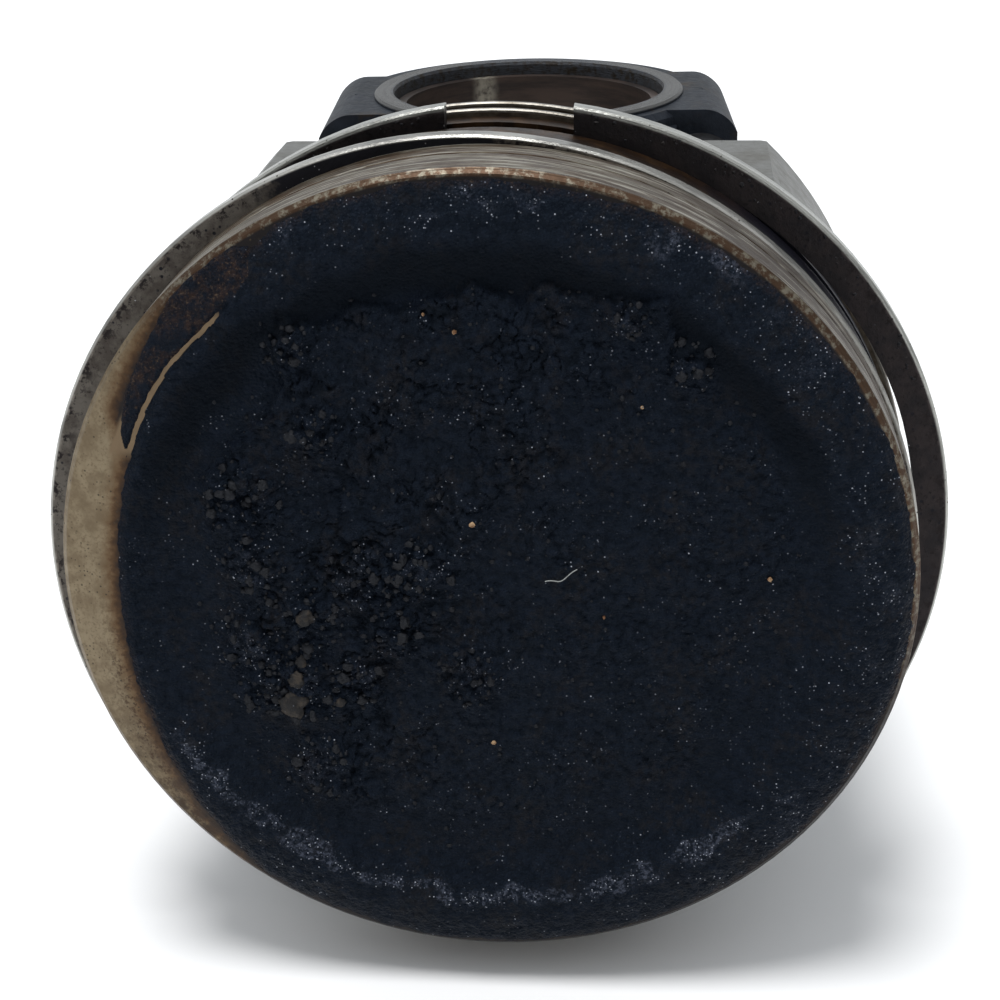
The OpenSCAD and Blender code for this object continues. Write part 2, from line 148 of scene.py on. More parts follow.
class Shader:
    """A Principled material with short calls for its nodes. Its coordinates are in mm from centre."""

    def __init__(self, name, centre=(0, 0, 0), metallic=0.0, rough=0.5, specular=0.5):
        self.mat = bpy.data.materials.new(name)
        self.mat.use_nodes = True
        self.nodes = self.mat.node_tree.nodes
        self.links = self.mat.node_tree.links
        self.bsdf = self.nodes["Principled BSDF"]
        self.bsdf.inputs["Metallic"].default_value = metallic
        self.bsdf.inputs["Roughness"].default_value = rough
        self.bsdf.inputs["Specular IOR Level"].default_value = specular
        coords = self.add("ShaderNodeTexCoord")
        moved = self.vector("SUBTRACT", coords.outputs["Object"], tuple(centre))
        self.pos = self.vector("MULTIPLY", moved, (1 / MM,) * 3)
        split = self.add("ShaderNodeSeparateXYZ", {0: self.pos})
        self.x, self.y, self.z = split.outputs

    def add(self, kind, inputs=None, **props):
        node = self.nodes.new(kind)
        for key, value in props.items():
            setattr(node, key, value)
        for key, value in (inputs or {}).items():
            if isinstance(value, bpy.types.NodeSocket):
                self.links.new(value, node.inputs[key])
            else:
                node.inputs[key].default_value = value
        return node

    def math(self, op, a, b=0.0):
        return self.add("ShaderNodeMath", {0: a, 1: b}, operation=op).outputs[0]

    def vector(self, op, a, b):
        return self.add("ShaderNodeVectorMath", {0: a, 1: b}, operation=op).outputs[0]

    def combine(self, x, y, z):
        return self.add("ShaderNodeCombineXYZ", {0: x, 1: y, 2: z}).outputs[0]

    def length(self, a, b):
        return self.math("SQRT", self.math("ADD", self.math("MULTIPLY", a, a), self.math("MULTIPLY", b, b)))

    def step(self, value, low, high):
        """0 at low, 1 at high, eased between; low may be the larger."""
        node = self.add("ShaderNodeMapRange", {"Value": value, "From Min": low, "From Max": high},
                        interpolation_type="SMOOTHSTEP")
        return node.outputs["Result"]

    def band(self, value, low, high, soft=0.1):
        """1 between low and high."""
        return self.math("MULTIPLY", self.step(value, low - soft, low + soft),
                         self.step(value, high + soft, high - soft))

    def both(self, *values):
        result = values[0]
        for value in values[1:]:
            result = self.math("MULTIPLY", result, value)
        return result

    def either(self, a, b):
        return self.math("MAXIMUM", a, b)

    def noise(self, size, detail=4.0, rough=0.55, at=None):
        """Noise whose features are about size mm across, from 0 to 1."""
        node = self.add("ShaderNodeTexNoise", {"Vector": at or self.pos, "Scale": 1 / size,
                                               "Detail": detail, "Roughness": rough})
        return node.outputs[0]

    def cells(self, size, at=None):
        """Distance to the nearest of points about size mm apart, and a random colour for each."""
        node = self.add("ShaderNodeTexVoronoi", {"Vector": at or self.pos, "Scale": 1 / size})
        return node.outputs["Distance"], node.outputs["Color"]

    def dots(self, size, radius, share, at=None):
        """Small dots: the share of the cells that hold one, each of radius in cells."""
        distance, colour = self.cells(size, at)
        chosen = self.step(self.add("ShaderNodeSeparateColor", {0: colour}).outputs[0],
                           1 - share, 1 - share + 0.02)
        return self.both(chosen, self.step(distance, radius, radius * 0.6))

    def mix(self, factor, a, b):
        inputs = {0: factor}
        for key, value in ((6, a), (7, b)):
            inputs[key] = value if isinstance(value, bpy.types.NodeSocket) else (*value, 1)
        return self.add("ShaderNodeMix", inputs, data_type="RGBA").outputs[2]

    def mix_value(self, factor, a, b):
        return self.add("ShaderNodeMix", {0: factor, 2: a, 3: b}, data_type="FLOAT").outputs[0]

    def attribute(self, name):
        return self.add("ShaderNodeAttribute", attribute_name=name).outputs["Fac"]

    def bump(self, height, depth):
        """Bump whose height, from 0 to 1, stands for depth mm."""
        inputs = {"Height": height, "Distance": depth * MM, "Strength": 1.0}
        return self.add("ShaderNodeBump", inputs).outputs[0]

    def set_colour(self, colour):
        if isinstance(colour, bpy.types.NodeSocket):
            self.links.new(colour, self.bsdf.inputs["Base Color"])
        else:
            self.bsdf.inputs["Base Color"].default_value = (*colour, 1)

    def set(self, name, socket):
        self.links.new(socket, self.bsdf.inputs[name])


def paint(node, shader):
    """Gives a CAD node one material."""
    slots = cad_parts[node].data.materials
    slots.clear()
    slots.append(shader.mat)


# ---- CAD node materials -----------------------------------------------------------------------

BEIGE = (0.205, 0.163, 0.104)
BEIGE_DARK = (0.135, 0.100, 0.060)
TAN = (0.168, 0.150, 0.115)
VARNISH = (0.020, 0.011, 0.007)
AMBER = (0.085, 0.040, 0.013)
SOOT = (0.010, 0.010, 0.013)
GREY = (0.16, 0.16, 0.15)


def bare_crown_colour(s, r):
    """The bare part of the crown: beige, darker and browner towards the carbon."""
    mottled = s.mix(s.step(s.noise(1.6, 5), 0.35, 0.7), BEIGE, BEIGE_DARK)
    fine = s.mix(s.step(s.noise(0.22, 3), 0.45, 0.75), mottled, BEIGE_DARK)
    to_centre = s.length(s.math("SUBTRACT", s.x, EDGE_X), s.math("SUBTRACT", s.z, EDGE_Z))
    leaf_bulge = s.math("MULTIPLY", s.step(s.z, 9.8, 14.5), 1.8)
    from_carbon = s.math("SUBTRACT", s.math("SUBTRACT", to_centre, EDGE_R), leaf_bulge)
    rough_edge = s.math("ADD", from_carbon, s.math("MULTIPLY", s.noise(0.5, 4), -1.0))
    browned = s.mix(s.step(rough_edge, 1.0, -0.5), fine, AMBER)
    low_left = s.both(s.step(s.z, -7, -21), s.step(s.noise(1.2, 6, 0.7), 0.32, 0.60))
    browned = s.mix(low_left, browned, (0.035, 0.022, 0.014))
    scorched = s.both(s.step(rough_edge, 2.4, 0.2), s.step(s.noise(0.35, 5, 0.7), 0.46, 0.64),
                      s.step(s.z, 2, -8))
    browned = s.mix(scorched, browned, (0.045, 0.024, 0.012))
    burnt = s.mix(s.step(rough_edge, 0.3, -0.9), browned, (0.012, 0.010, 0.010))
    specks = s.both(s.dots(0.30, 0.30, 0.40), s.step(s.noise(2.5), 0.38, 0.6))
    crown = s.mix(specks, burnt, (0.045, 0.034, 0.022))
    bare_rim = s.mix(s.step(s.noise(0.6, 5, 0.7), 0.36, 0.54), TAN, (0.055, 0.030, 0.016))
    at_rim = s.both(s.step(r, LAND_R - 0.62, LAND_R - 0.42), s.step(s.z, -12, 2), s.step(s.x, -24.5, -20))
    crown = s.mix(at_rim, crown, bare_rim)
    by_leaf = s.both(s.step(s.x, -16.5, -18), s.band(s.z, 10.5, 21, 0.5), s.step(r, 28.6, 28.2))
    return s.mix(by_leaf, crown, (0.150, 0.105, 0.062))


def land_colours(s, around, wrapped):
    """The top land and the one below it, varnished by burnt oil and smeared with soot; the lower one has
    painted shadow at the right.
    """
    streak = s.noise(1.0, 6, 0.65, at=s.combine(s.math("MULTIPLY", around, 0.25), s.y, 0.0))
    blotch = s.noise(2.2, 5, 0.6, at=wrapped)
    brown_band = s.both(s.band(s.y, 4.3, 6.9, 0.5), s.step(s.x, 6, -8), s.step(blotch, 0.36, 0.56))
    top = s.mix(s.step(streak, 0.42, 0.64), TAN, (0.115, 0.085, 0.056))
    top = s.mix(brown_band, top, (0.090, 0.052, 0.026))
    pitted = s.both(s.dots(0.36, 0.30, 0.30, at=wrapped), s.step(blotch, 0.40, 0.56))
    top = s.mix(pitted, top, (0.030, 0.020, 0.014))
    scorched = s.both(s.step(s.noise(0.7, 5, 0.7, at=wrapped), 0.44, 0.60), s.step(s.y, 0.9, 0.35))
    top = s.mix(scorched, top, (0.020, 0.010, 0.007))
    right = s.mix(s.step(streak, 0.40, 0.62), (0.040, 0.028, 0.022), (0.125, 0.105, 0.085))
    right = s.mix(pitted, right, (0.018, 0.013, 0.012))
    top = s.mix(s.step(s.x, 22, 4), right, top)
    turned_line = s.noise(0.30, 3, 0.6, at=s.combine(s.math("MULTIPLY", around, 0.05), s.y, 3.0))
    top = s.mix(s.step(turned_line, 0.50, 0.57), top, (0.050, 0.031, 0.019))
    top = s.mix(s.step(turned_line, 0.45, 0.38), top, (0.34, 0.32, 0.27))
    second = s.mix(s.step(blotch, 0.34, 0.60), (0.060, 0.030, 0.012), VARNISH)
    worn = s.both(s.step(streak, 0.60, 0.70), s.step(s.noise(0.35, 3, 0.6, at=wrapped), 0.5, 0.6))
    second = s.mix(worn, second, (0.20, 0.15, 0.10))
    # painted shadow: the second land turns dark navy at the right
    return top, s.mix(s.step(s.x, 13, 20), second, (0.010, 0.010, 0.018))


def piston_material():
    """Aluminium: bare crown, stained lands with painted shadow on the second at the right, grey skirt, and
    oil-brown inside.
    """
    s = Shader("piston_aluminium", centre=CROWN, metallic=0.75, rough=0.42)
    r = s.length(s.x, s.z)
    around = s.math("MULTIPLY", s.math("ARCTAN2", s.z, s.x), LAND_R)
    wrapped = s.combine(around, s.y, 0.0)
    crown = bare_crown_colour(s, r)
    top_land, second_land = land_colours(s, around, wrapped)
    skirt = s.mix(s.step(s.noise(4, 4, at=wrapped), 0.4, 0.7), GREY, (0.11, 0.105, 0.09))
    scuff = s.noise(0.5, 3, at=s.combine(around, s.math("MULTIPLY", s.y, 0.06), 0.0))
    skirt = s.mix(s.step(scuff, 0.62, 0.72), skirt, (0.075, 0.07, 0.06))
    inside = s.mix(s.step(s.noise(1.5, 5), 0.4, 0.65), (0.10, 0.085, 0.06), (0.05, 0.038, 0.024))

    # from the crown down: its depths in mm are those of the chamfer and the grooves
    colour = s.mix(s.step(s.y, 0.25, 0.45), crown, top_land)
    colour = s.mix(s.step(s.y, 7.2, 7.6), colour, second_land)
    colour = s.mix(s.step(s.y, 18.4, 19.6), colour, skirt)
    # deep places: the thin line in the top land, the grooves' floors and the inside
    line = s.both(s.step(r, LAND_R - 0.03, LAND_R - 0.14), s.band(s.y, 4.15, 4.5, 0.03))
    in_groove = s.both(s.step(r, LAND_R - 0.25, LAND_R - 0.7), s.band(s.y, 6.8, 18.5, 0.05))
    colour = s.mix(s.either(line, in_groove), colour, (0.02, 0.014, 0.011))
    flat_side = s.step(s.math("ABSOLUTE", s.z), 22.1, 22.3)
    is_inside = s.both(s.step(r, 27.95, 27.8), s.step(s.y, 5, 5.3), s.math("SUBTRACT", 1.0, flat_side))
    s.set_colour(s.mix(is_inside, colour, inside))

    s.set("Roughness", s.mix_value(s.noise(0.8, 4), 0.28, 0.62))
    turned = s.noise(0.16, 2, at=s.combine(0.0, s.y, s.math("MULTIPLY", r, 0.3)))
    cast = s.noise(0.5, 5, 0.6)
    s.set("Normal", s.bump(s.mix_value(is_inside, s.mix_value(0.6, cast, turned), cast), 0.05))
    return s


def ring_size(low, high):
    """A ring's centre in metres and its outer radius in mm, from its box."""
    return (low + high) / 2, max(high.z - low.z, high.x - low.x) / 2 / MM


def ring_material(name, low, high, flat, stain, face, black_arc=None):
    """A cast-iron ring: stained flat sides with painted glints, and a polished running face, in mm from its
    own centre.

    black_arc is the stretch of the ring, in radians, whose flat is covered in carbon."""
    centre, radius = ring_size(low, high)
    s = Shader(name, centre=centre, metallic=0.85, rough=0.4)
    r = s.length(s.x, s.z)
    turn = s.math("ARCTAN2", s.z, s.x)
    around = s.math("MULTIPLY", turn, radius)
    polar = s.combine(s.math("MULTIPLY", around, 0.2), r, s.y)
    flats = s.mix(s.step(s.noise(1.6, 6, 0.62), 0.38, 0.64), flat, stain)
    flats = s.mix(s.step(s.noise(0.30, 4, 0.7), 0.56, 0.70), flats, tuple(c * 0.45 for c in stain))
    flats = s.mix(s.both(s.dots(0.5, 0.34, 0.4), s.step(s.noise(2.6, 3), 0.46, 0.6)), flats, SOOT)
    # painted glints: small bright dots on the flats
    flats = s.mix(s.dots(0.62, 0.14, 0.12), flats, (0.30, 0.30, 0.31))
    crumbs = s.both(s.step(r, radius - 1.5, radius - 0.4), s.step(s.noise(0.9, 6, 0.75), 0.52, 0.57))
    flats = s.mix(crumbs, flats, (0.014, 0.011, 0.011))
    edge_worn = s.step(r, radius - 0.42, radius - 0.30)
    flats = s.mix(s.both(edge_worn, s.step(s.noise(0.8, 3), 0.45, 0.6)), flats, tuple(c * 1.6 for c in flat))
    if black_arc:
        start, end = black_arc
        ragged = s.math("ADD", turn, s.math("MULTIPLY", s.noise(1.6, 6, 0.65), 0.35))
        # carbon on the flat, with painted glints as light dots
        carbon = s.mix(s.dots(0.30, 0.2, 0.16), (0.010, 0.010, 0.013), (0.24, 0.24, 0.26))
        flats = s.mix(s.band(ragged, start, end, 0.03), flats, carbon)
    running = s.mix(s.step(s.noise(0.9, 5, at=polar), 0.42, 0.72), face, tuple(c * 0.45 for c in face))
    dirt = s.both(s.dots(0.3, 0.3, 0.25), s.step(s.noise(2, 3), 0.5, 0.6))
    running = s.mix(dirt, running, (0.03, 0.025, 0.02))
    outer = s.step(r, radius - 0.28, radius - 0.12)
    s.set_colour(s.mix(outer, flats, running))
    s.set("Roughness", s.mix_value(outer, s.mix_value(s.noise(0.6, 3), 0.35, 0.6), 0.30))
    relief = s.mix_value(outer, s.noise(0.3, 5, 0.65), s.noise(0.08, 2, at=polar))
    s.set("Normal", s.bump(relief, 0.04))
    return s


def rail_material():
    s = Shader("rail_steel", centre=CROWN, metallic=0.9, rough=0.42)
    r = s.length(s.x, s.z)
    side = s.mix(s.step(s.noise(1.2, 5), 0.35, 0.65), (0.06, 0.045, 0.032), (0.13, 0.11, 0.085))
    edge = s.mix(s.step(s.noise(2.0, 4), 0.4, 0.75), (0.24, 0.225, 0.20), (0.12, 0.105, 0.085))
    s.set_colour(s.mix(s.step(r, 31.1, 31.2), side, edge))
    s.set("Normal", s.bump(s.noise(0.25, 4), 0.02))
    return s


def expander_material():
    s = Shader("expander_steel", centre=CROWN, metallic=0.7, rough=0.5)
    s.set_colour(s.mix(s.step(s.noise(1.0, 5), 0.35, 0.7), (0.10, 0.075, 0.045), (0.028, 0.02, 0.013)))
    s.set("Normal", s.bump(s.noise(0.3, 4), 0.04))
    return s


def pin_material():
    s = Shader("pin_steel", centre=CROWN, metallic=1.0, rough=0.22)
    tint = s.mix(s.step(s.noise(7, 3), 0.35, 0.7), (0.42, 0.42, 0.42), (0.27, 0.24, 0.21))
    s.set_colour(s.mix(s.step(s.noise(0.9, 6, 0.7), 0.6, 0.75), tint, (0.12, 0.10, 0.085)))
    s.set("Roughness", s.mix_value(s.noise(1.5, 4), 0.15, 0.38))
    s.set("Normal", s.bump(s.noise(0.12, 2), 0.006))
    return s


def circlip_material():
    s = Shader("spring_wire", metallic=0.9, rough=0.35)
    s.set_colour(s.mix(s.step(s.noise(0.7, 4), 0.4, 0.7), (0.10, 0.10, 0.105), (0.05, 0.042, 0.035)))
    s.set("Normal", s.bump(s.noise(0.2, 3), 0.01))
    return s


def rod_material(name, tint):
    """Dark forged skin, with ground faces round the big-end bore."""
    s = Shader(name, metallic=0.35, rough=0.55, specular=0.1)
    r = s.length(s.x, s.y)
    skin = s.mix(s.step(s.noise(3.5, 5, 0.6), 0.35, 0.68), tint, tuple(c * 0.62 for c in tint))
    skin = s.mix(s.step(s.noise(0.5, 5, 0.65), 0.60, 0.75), skin, (0.016, 0.015, 0.017))
    oil = s.both(s.step(s.noise(6, 4), 0.5, 0.7), s.step(s.noise(1.2, 5), 0.4, 0.6))
    skin = s.mix(oil, skin, (0.030, 0.022, 0.016))
    around = s.combine(s.math("MULTIPLY", s.math("ARCTAN2", s.y, s.x), 1.5), s.math("MULTIPLY", r, 2.2), s.z)
    ground = s.mix(s.step(s.noise(0.6, 5, at=around), 0.4, 0.7), (0.084, 0.083, 0.080), (0.048, 0.047, 0.046))
    ground = s.mix(s.step(s.math("ABSOLUTE", s.x), 13, 6), ground, (0.030, 0.033, 0.041))
    on_face = s.both(s.step(s.math("ABSOLUTE", s.z), 8.5, 8.65), s.step(r, 20.75, 20.6))
    in_bore = s.step(r, 18.5, 18.42)
    bore = s.mix(s.step(s.noise(0.8, 5), 0.4, 0.7), (0.05, 0.053, 0.06), (0.03, 0.024, 0.018))
    colour = s.mix(on_face, skin, ground)
    s.set_colour(s.mix(in_bore, colour, bore))
    machined = s.math("MAXIMUM", on_face, in_bore)
    s.set("Roughness", s.mix_value(machined, s.mix_value(s.noise(0.9, 4), 0.4, 0.66), 0.36))
    relief = s.mix_value(machined, s.noise(0.7, 6, 0.6), s.noise(0.1, 2, at=around))
    s.set("Normal", s.bump(relief, 0.09))
    return s


def bush_material():
    s = Shader("bronze", centre=CROWN, metallic=0.9, rough=0.35)
    s.set_colour(s.mix(s.step(s.noise(1.5, 5), 0.35, 0.7), (0.42, 0.25, 0.10), (0.16, 0.09, 0.04)))
    s.set("Normal", s.bump(s.noise(0.2, 4), 0.01))
    return s


def shell_material():
    """Bearing metal worn along the crank pin's turning, brown with oil, with a painted highlight as a thin
    bright streak.
    """
    s = Shader("bearing_metal", metallic=0.6, rough=0.42)
    turn = s.math("ARCTAN2", s.y, s.x)
    polar = s.combine(s.math("MULTIPLY", turn, 2.2), s.math("MULTIPLY", s.z, 1.0), 0.0)
    worn = s.step(s.noise(1.3, 6, 0.6, at=polar), 0.35, 0.68)
    base = s.mix(worn, (0.078, 0.055, 0.045), (0.038, 0.030, 0.027))
    # painted highlight: a thin bright streak at one angle round the bore
    highlight_at = math.radians(116)
    streak = s.both(s.step(s.math("ABSOLUTE", s.math("SUBTRACT", turn, highlight_at)), 0.14, 0.03),
                    s.step(s.noise(0.8, 4), 0.2, 0.6))
    s.set_colour(s.mix(streak, base, (0.34, 0.31, 0.25)))
    s.set("Roughness", s.mix_value(s.noise(0.7, 4), 0.3, 0.55))
    s.set("Normal", s.bump(s.noise(0.25, 4, at=s.combine(turn, s.z, 0.0)), 0.01))
    return s


def bolt_material():
    s = Shader("bolt_steel", metallic=0.8, rough=0.42)
    s.set_colour(s.mix(s.step(s.noise(0.9, 5), 0.4, 0.7), (0.055, 0.056, 0.06), (0.022, 0.02, 0.02)))
    s.set("Normal", s.bump(s.noise(0.35, 4), 0.03))
    return s


def paint_frame():
    paint("piston_body", piston_material())
    paint("top_compression_ring",
          ring_material("top_ring_iron", ring1_low, ring1_high, flat=(0.104, 0.093, 0.080),
                        stain=(0.058, 0.049, 0.042), face=(0.42, 0.41, 0.38), black_arc=(1.66, 2.2)))
    paint("second_compression_ring",
          ring_material("second_ring_iron", ring2_low, ring2_high, flat=(0.026, 0.021, 0.021),
                        stain=(0.017, 0.015, 0.016), face=(0.40, 0.40, 0.37)))
    rails = rail_material()
    paint("upper_oil_rail", rails)
    paint("lower_oil_rail", rails)
    paint("oil_ring_expander", expander_material())
    paint("gudgeon_pin", pin_material())
    wire = circlip_material()
    paint("upper_circlip", wire)
    paint("lower_circlip", wire)
    paint("connecting_rod", rod_material("rod_steel", (0.019, 0.023, 0.031)))
    paint("rod_cap", rod_material("cap_steel", (0.018, 0.022, 0.029)))
    paint("small_end_bush", bush_material())
    shells = shell_material()
    paint("rod_bearing_shell", shells)
    paint("cap_bearing_shell", shells)
    bolts = bolt_material()
    for name in ("left_rod_bolt", "right_rod_bolt", "left_rod_nut", "right_rod_nut"):
        paint(name, bolts)


# ---- carbon on the crown ----------------------------------------------------------------------

def ease(value, low, high):
    """0 at low, 1 at high, eased between; low may be the larger. Takes numbers or arrays."""
    t = np.clip((value - low) / (high - low), 0, 1)
    return t * t * (3 - 2 * t)


def lattice(i, k, seed):
    """A repeatable random number from 0 to 1 for each whole-number point (i, k)."""
    mixed = (i.astype(np.int64) * 374761393 + k.astype(np.int64) * 668265263 + seed * 144269504) & 0xFFFFFFFF
    mixed = ((mixed ^ (mixed >> 13)) * 1274126177) & 0xFFFFFFFF
    return ((mixed ^ (mixed >> 16)) & 0xFFFF) / 65535


def wander(x, z, size, seed):
    """Smooth noise from about -1 to 1 whose features are about size mm across."""
    x, z = np.asarray(x) / size, np.asarray(z) / size
    i, k = np.floor(x), np.floor(z)
    u, v = ease(x - i, 0, 1), ease(z - k, 0, 1)
    total = 0
    for di in (0, 1):
        for dk in (0, 1):
            turn = lattice(i + di, k + dk, seed) * 2 * np.pi
            slope = np.cos(turn) * (x - i - di) + np.sin(turn) * (z - k - dk)
            total = total + slope * (u if di else 1 - u) * (v if dk else 1 - v)
    return 1.5 * total


def fractal(x, z, size, octaves, seed):
    """Rough noise from about -1 to 1, whose largest features are about size mm across."""
    return sum(wander(x, z, size / 2 ** n, seed + n) / 1.9 ** n for n in range(octaves))


def grains(x, z, size, seed):
    """Height of a bed of round grains of mixed sizes, from 0 to about 1, about size mm apart."""
    x, z = np.asarray(x) / size, np.asarray(z) / size
    i, k = np.floor(x), np.floor(z)
    best = np.zeros_like(x)
    for di in (-1, 0, 1):
        for dk in (-1, 0, 1):
            ci, ck = i + di, k + dk
            away = np.hypot(x - ci - lattice(ci, ck, seed), z - ck - lattice(ci, ck, seed + 1))
            radius = 0.35 + 0.5 * lattice(ci, ck, seed + 2)
            best = np.maximum(best, np.sqrt(np.maximum(0, radius ** 2 - away ** 2)))
    return best * 1.2


def inside_by(x, z, outline):
    """Distance in mm to a closed outline, positive inside it."""
    x, z = np.asarray(x, float), np.asarray(z, float)
    nearest = np.full(x.shape, 1e9)
    inside = np.zeros(x.shape, bool)
    for (ax, az), (bx, bz) in zip(outline, outline[1:] + outline[:1]):
        dx, dz = bx - ax, bz - az
        t = np.clip(((x - ax) * dx + (z - az) * dz) / (dx * dx + dz * dz), 0, 1)
        nearest = np.minimum(nearest, np.hypot(x - ax - t * dx, z - az - t * dz))
        if az != bz:
            crossing = ((az > z) != (bz > z)) & (x < ax + dx * (z - az) / dz)
            inside ^= crossing
    return np.where(inside, nearest, -nearest)


BARE = -0.12                            # where nothing covers the crown, the sheet lies this low in it, mm

# Border of the thick crust inside the dish, in mm on the crown
THICK = ((-14.2, 18.8), (-12, 20.6), (-10.5, 19.8), (-8, 21.7), (-4.4, 21.4), (-0.1, 23), (2.9, 22),
         (5.2, 23), (8.8, 22.1), (12.9, 22.2), (13.4, 18.6), (15.6, 17.8), (17, 15.2), (19.6, 13.2),
         (22.2, 10.4), (23.4, 5), (23.4, -1), (21.6, -9), (17, -15), (10, -19), (2, -21.4), (-6, -22),
         (-11, -20.6), (-14.6, -18), (-15.5, -14.7), (-16.4, -10.9), (-18.5, -7.2), (-17.8, -2),
         (-19.4, 3.7), (-19.5, 8.8), (-17.8, 10.6), (-14.6, 13.4), (-13.8, 16))

# The leaf-shaped patch of thin brown-black carbon outside the crust's upper left edge
LEAF = ((-25, 10.2), (-25.3, 12), (-25.1, 13.6), (-24.6, 15.4), (-23.5, 17.7), (-22.1, 20.2),
        (-20.8, 22.3), (-19.1, 24.3), (-17.2, 25.6), (-15.2, 25.6), (-15.4, 23.6), (-16.6, 22.1),
        (-17.8, 20.8), (-19, 19.6), (-20.4, 18.3), (-21.6, 17), (-22.5, 15.7), (-23.4, 14.2),
        (-24.3, 12.3), (-24.95, 10.6))

# Clusters of popcorn-like carbon: place on the crown and reach, in mm
CLUSTERS = ((-17.4, 6.8, 2.6), (-16.8, 1.9, 2.2), (-17.5, -4.6, 2.2), (-16.6, -8.6, 2.0),
            (-13.8, -8.4, 2.8), (-13.2, -2.2, 2.6), (-8.6, 1.2, 3.0), (-4.6, 1.8, 2.2),
            (-13.4, 19.0, 1.6), (-11.8, 12.4, 2.0), (-12.6, -15.0, 2.6), (-6.8, -3.4, 1.8),
            (-1.4, -7.0, 2.2), (14.4, 17.6, 1.6), (10.2, 20.6, 1.4), (-9.4, -7.4, 2.0))


def cluster_weight(x, z):
    weights = [ease(np.hypot(x - cx, z - cz), reach * 1.4, reach * 0.5) for cx, cz, reach in CLUSTERS]
    return np.max(weights, axis=0)


def heap(x, z, r, cluster):
    """Thickness in mm of carbon that nothing bounds, its painted shade (between grains, in cracks and on the
    shadowed dish wall round it), and the painted shadow on that dish wall.
    """
    big, middle, small = grains(x, z, 1.9, 30), grains(x, z, 0.95, 40), grains(x, z, 0.5, 50)
    # thin, finely grained carbon everywhere
    body = 0.16 + 0.05 * fractal(x, z, 5.0, 3, 1) + 0.08 * small + 0.05 * fractal(x, z, 0.45, 2, 7)
    # the thick crust in the dish: steep at its upper edge, thinning out below and to the right
    slope = 0.35 + 3.2 * ease(z, 6, -16) + 2.0 * ease(x, 12, 22)
    depth_in = inside_by(x, z, THICK) + 0.55 * fractal(x, z, 1.7, 4, 9)
    thick = ease(depth_in / slope, 0, 1)
    # lumpy at the upper left, smoother at the lower right
    lumpy = 0.30 + 0.70 * ease(fractal(x, z, 5.5, 3, 15), -0.35, 0.35)
    lumpy *= 0.35 + 0.65 * ease(x - 0.5 * z, 9, -10)
    cliff = 0.18 * ease(z, 6, 18) + 0.10 * ease(x, -8, -15)
    knobs = 0.17 * big + 0.20 * middle + 0.11 * small
    body += thick * (0.16 + cliff + 0.14 * fractal(x, z, 3.2, 4, 12) + lumpy * knobs)
    body += cluster * (0.24 * big + 0.36 * middle + 0.16 * small)
    cracks = ease(np.abs(fractal(x, z, 2.6, 3, 18)), 0.07, 0.0) * lumpy
    body -= thick * 0.24 * cracks
    # the rough lip of the dish, and fine radial streaks at the right of the bevel
    body += (0.10 * ease(np.abs(r - 26.2), 1.3, 0.2)) * (0.5 + middle) * ease(z, -8, 12)
    turn = np.arctan2(z, x)
    streaks = wander(turn * 36, r * 0.55, 1.0, 60) * ease(r, 25.5, 27.0) * ease(np.abs(turn), 1.25, 0.7)
    body += 0.055 * streaks

    # painted shade: darker between the grains and in the cracks
    between = ease(0.5 * middle + 0.5 * small + 0.3 * fractal(x, z, 0.9, 3, 90), 0.55, 0.15)
    painted_shade = np.maximum(between * (0.30 + 0.40 * thick * lumpy), 0.7 * thick * cracks)
    # painted shadow on the dish's upper wall round the crust
    painted_dish_shadow = ease(np.abs(r - 24.2 + 0.8 * wander(x, z, 3.5, 91)), 2.2, 0.6) * ease(z, 1, 13) * (1 - thick)
    return body, np.clip(np.maximum(painted_shade, 0.80 * painted_dish_shadow), 0, 1), painted_dish_shadow


def add_leaf(x, z, r, ragged, thickness, brown):
    """Puts the leaf-shaped patch on, with a thin bare line between it and the crust."""
    leaf = inside_by(x, z, LEAF) + 0.07 * fractal(x, z, 0.9, 3, 70)
    leaf = np.minimum(leaf, LAND_R - 0.45 - r + 0.12 * wander(x, z, 1.2, 71))
    on_leaf = leaf > -0.1
    film = BARE + ease(leaf, -0.1, 0.25) * (0.27 + 0.06 * fractal(x, z, 0.7, 4, 72))
    merging = ease(z, 20.0, 22.5)
    merged = np.maximum(film, thickness * merging + BARE * (1 - merging))
    thickness = np.where(on_leaf, merged, thickness)
    bare_line = ease(np.abs(leaf + 0.14), 0.15, 0.06) * (1 - merging) * ease(ragged, -1.0, -0.5)
    thickness = thickness * (1 - bare_line) + BARE * bare_line
    blotches = ease(fractal(x, z, 1.4, 4, 74) + 0.25 * ease(z, 17, 24), -0.35, 0.35)
    rusty = (0.10 + 0.85 * ease(z, 11.0, 14.5) * blotches) * ease(z, 26.5, 24.5)
    return thickness, np.where(on_leaf, np.maximum(brown, rusty), brown), on_leaf


def wetness_and_sheen(x, z, r, cluster, painted_dish_shadow):
    """How oily the carbon is, which also places the painted sheen and glints: most on a band at the top, the
    dish's lower lip and the clusters.
    """
    top_band = ease(z, 22, 26) * ease(r, 26.5, 28) * (0.4 + 0.6 * ease(fractal(x, z, 3.0, 3, 80), -0.3, 0.3))
    lip = ease(np.abs(r - 26.0 + 0.5 * wander(x, z, 2.5, 92)), 1.5, 0.2) * ease(z + 0.15 * x, -12, -19)
    lip *= 0.50 + 0.50 * ease(fractal(x, z, 2.0, 3, 96), -0.35, 0.25)
    speckled = ease(fractal(x, z, 4.0, 3, 95), -0.35, 0.45)
    right = ease(r, 24.5, 27) * ease(x, 8, 20)
    wet_and_sheen = 0.14 + 0.28 * speckled + 0.38 * top_band + 0.9 * lip + 0.32 * cluster + 0.3 * right - 0.3 * painted_dish_shadow
    return np.clip(wet_and_sheen, 0, 1)


